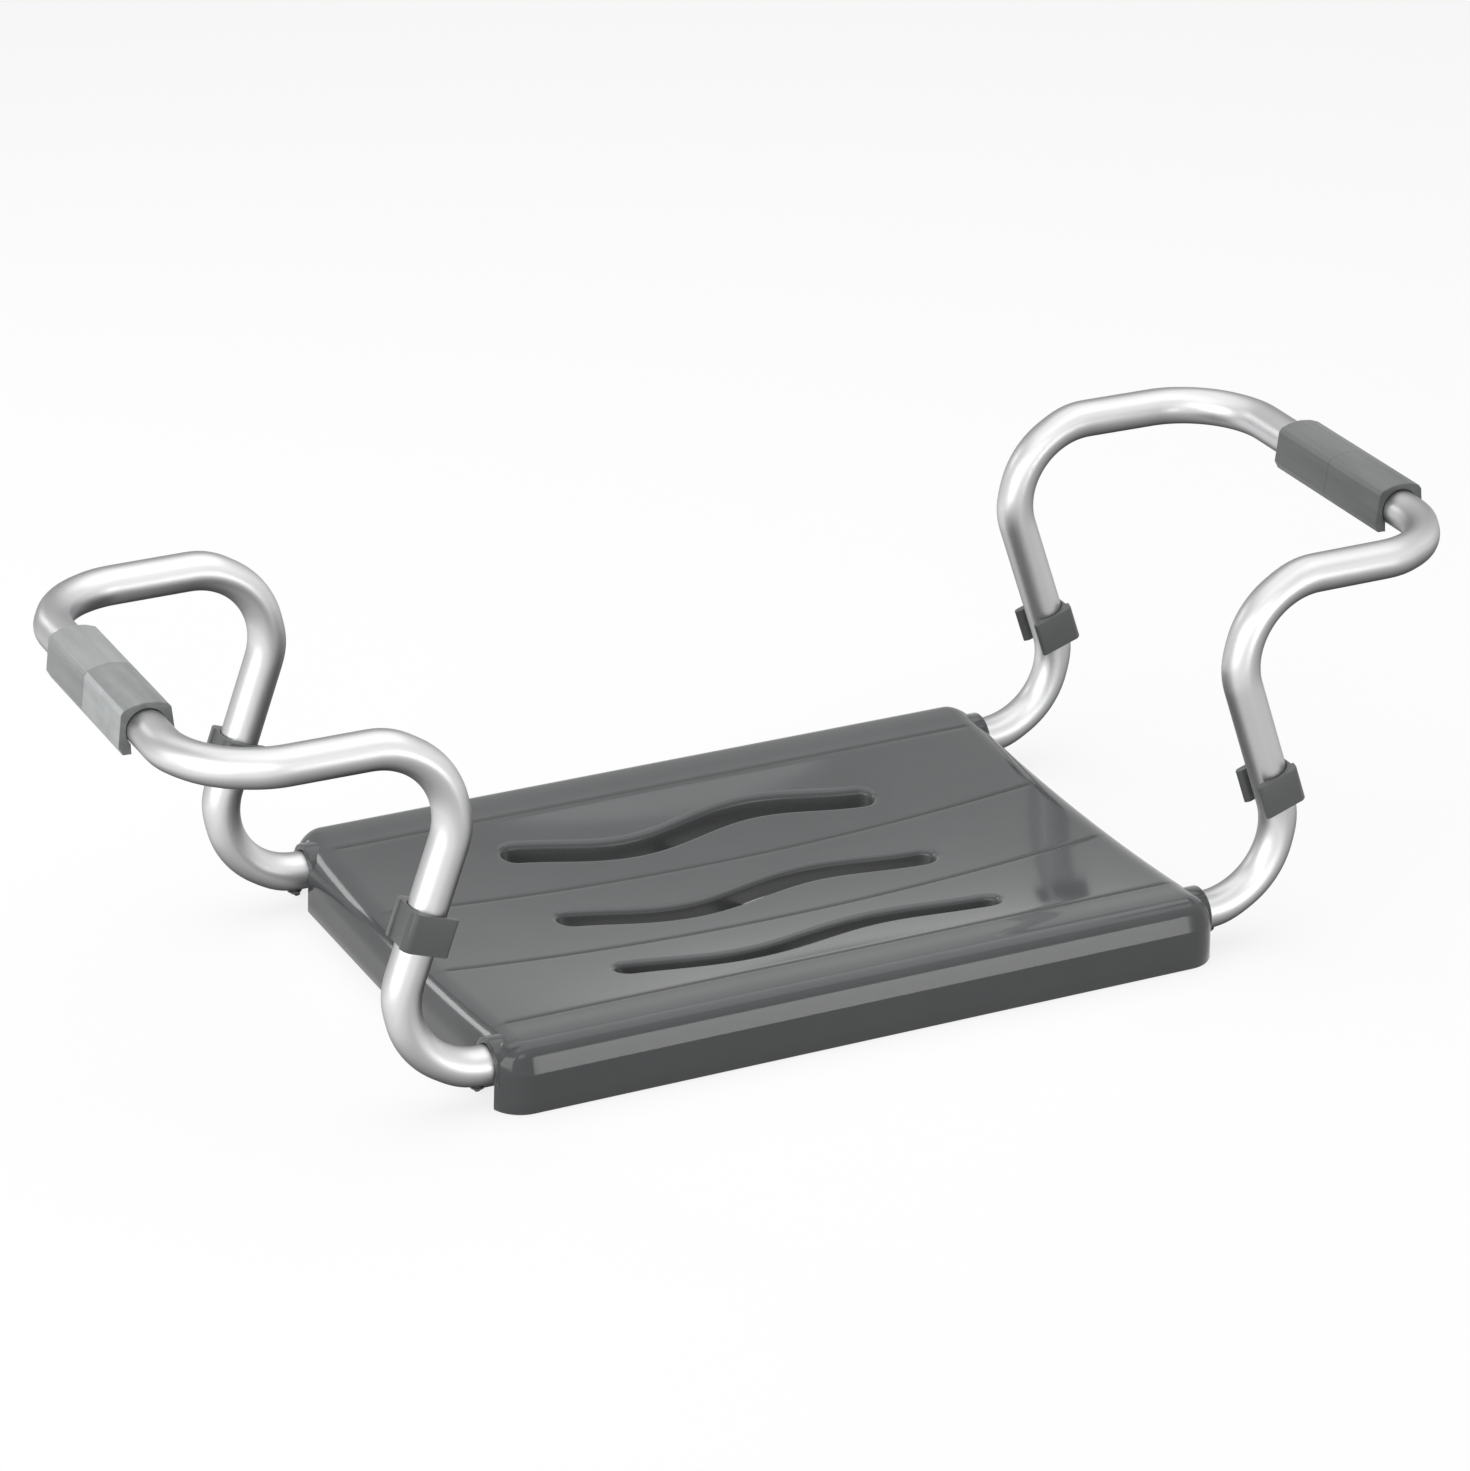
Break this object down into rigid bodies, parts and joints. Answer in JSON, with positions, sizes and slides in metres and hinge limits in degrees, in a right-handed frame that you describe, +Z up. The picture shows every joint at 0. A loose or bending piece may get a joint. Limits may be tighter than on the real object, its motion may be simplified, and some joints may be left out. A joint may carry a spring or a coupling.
{
  "type": "bath seat",
  "caption": "Bath seat: a dished plastic deck with wavy drain slots, slung between two bent tube frames that hook over the rims of a bath.",
  "frame": {"origin": "middle of the deck's underside, in the plane that the seat stands on", "axes": "+Z up, +X across the bath towards the right frame, -Y the front edge of the deck"},
  "size_m": [0.7162, 0.281, 0.2117],
  "materials": {
    "deck_plastic": "moulded, semi-gloss dark grey",
    "aluminium_tube": "satin anodised",
    "pad_plastic": "moulded, satin grey",
    "dark_pad_plastic": "moulded, satin dark grey",
    "fitting_plastic": "moulded, satin dark grey",
    "black_plastic": "moulded, satin black",
    "steel": "zinc plated",
    "brass": "machined"
  },
  "bodies": {
    "deck": {"seat_deck": "deck_plastic", "left_front_guide_strap": "fitting_plastic", "left_front_inner_screw": "steel", "left_front_outer_screw": "steel", "left_front_clamp_plate": "fitting_plastic", "left_front_insert": "brass", "left_rear_guide_strap": "fitting_plastic", "left_rear_inner_screw": "steel", "left_rear_outer_screw": "steel", "left_rear_clamp_plate": "fitting_plastic", "left_rear_insert": "brass", "right_front_guide_strap": "fitting_plastic", "right_front_inner_screw": "steel", "right_front_outer_screw": "steel", "right_front_clamp_plate": "fitting_plastic", "right_front_insert": "brass", "right_rear_guide_strap": "fitting_plastic", "right_rear_inner_screw": "steel", "right_rear_outer_screw": "steel", "right_rear_clamp_plate": "fitting_plastic", "right_rear_insert": "brass"},
    "left_front_wall_pad": {"left_front_wall_pad": "dark_pad_plastic"},
    "left_front_knob": {"left_front_knob": "black_plastic"},
    "left_rear_wall_pad": {"left_rear_wall_pad": "dark_pad_plastic"},
    "left_rear_knob": {"left_rear_knob": "black_plastic"},
    "left_frame": {"left_frame": "aluminium_tube", "left_front_bung": "black_plastic", "left_front_end_plug": "black_plastic", "left_rear_bung": "black_plastic", "left_rear_end_plug": "black_plastic"},
    "left_rim_pad": {"left_rim_pad": "pad_plastic"},
    "right_front_wall_pad": {"right_front_wall_pad": "dark_pad_plastic"},
    "right_front_knob": {"right_front_knob": "black_plastic"},
    "right_rear_wall_pad": {"right_rear_wall_pad": "dark_pad_plastic"},
    "right_rear_knob": {"right_rear_knob": "black_plastic"},
    "right_frame": {"right_frame": "aluminium_tube", "right_front_bung": "black_plastic", "right_front_end_plug": "black_plastic", "right_rear_bung": "black_plastic", "right_rear_end_plug": "black_plastic"},
    "right_rim_pad": {"right_rim_pad": "pad_plastic"}
  },
  "joints": [
    {"name": "left_frame_slide", "type": "slide", "parent": "deck", "child": "left_frame", "axis": [-1, 0, 0], "range_m": [0, 0.045]},
    {"name": "right_frame_slide", "type": "slide", "parent": "deck", "child": "right_frame", "axis": [1, 0, 0], "range_m": [0, 0.045]},
    {"name": "left_rim_pad_slide", "type": "slide", "parent": "left_frame", "child": "left_rim_pad", "axis": [0, 1, 0], "range_m": [-0.016, 0.02]},
    {"name": "right_rim_pad_slide", "type": "slide", "parent": "right_frame", "child": "right_rim_pad", "axis": [0, 1, 0], "range_m": [-0.006, 0.03]},
    {"name": "left_front_wall_pad_slide", "type": "slide", "parent": "left_frame", "child": "left_front_wall_pad", "axis": [0.3266, 0, 0.9452], "range_m": [-0.022, 0.035]},
    {"name": "left_rear_wall_pad_slide", "type": "slide", "parent": "left_frame", "child": "left_rear_wall_pad", "axis": [0.3266, 0, 0.9452], "range_m": [-0.013, 0.044]},
    {"name": "right_front_wall_pad_slide", "type": "slide", "parent": "right_frame", "child": "right_front_wall_pad", "axis": [-0.3266, 0, 0.9452], "range_m": [-0.004, 0.053]},
    {"name": "right_rear_wall_pad_slide", "type": "slide", "parent": "right_frame", "child": "right_rear_wall_pad", "axis": [-0.3266, 0, 0.9452], "range_m": [0, 0.057]},
    {"name": "left_front_knob_turn", "type": "hinge", "parent": "deck", "child": "left_front_knob", "pos_m": [-0.163, -0.09, 0], "axis": [0, 0, 1], "range_deg": [-360, 0]},
    {"name": "left_rear_knob_turn", "type": "hinge", "parent": "deck", "child": "left_rear_knob", "pos_m": [-0.163, 0.09, 0], "axis": [0, 0, 1], "range_deg": [-360, 0]},
    {"name": "right_front_knob_turn", "type": "hinge", "parent": "deck", "child": "right_front_knob", "pos_m": [0.163, -0.09, 0], "axis": [0, 0, 1], "range_deg": [-360, 0]},
    {"name": "right_rear_knob_turn", "type": "hinge", "parent": "deck", "child": "right_rear_knob", "pos_m": [0.163, 0.09, 0], "axis": [0, 0, 1], "range_deg": [-360, 0]}
  ]
}
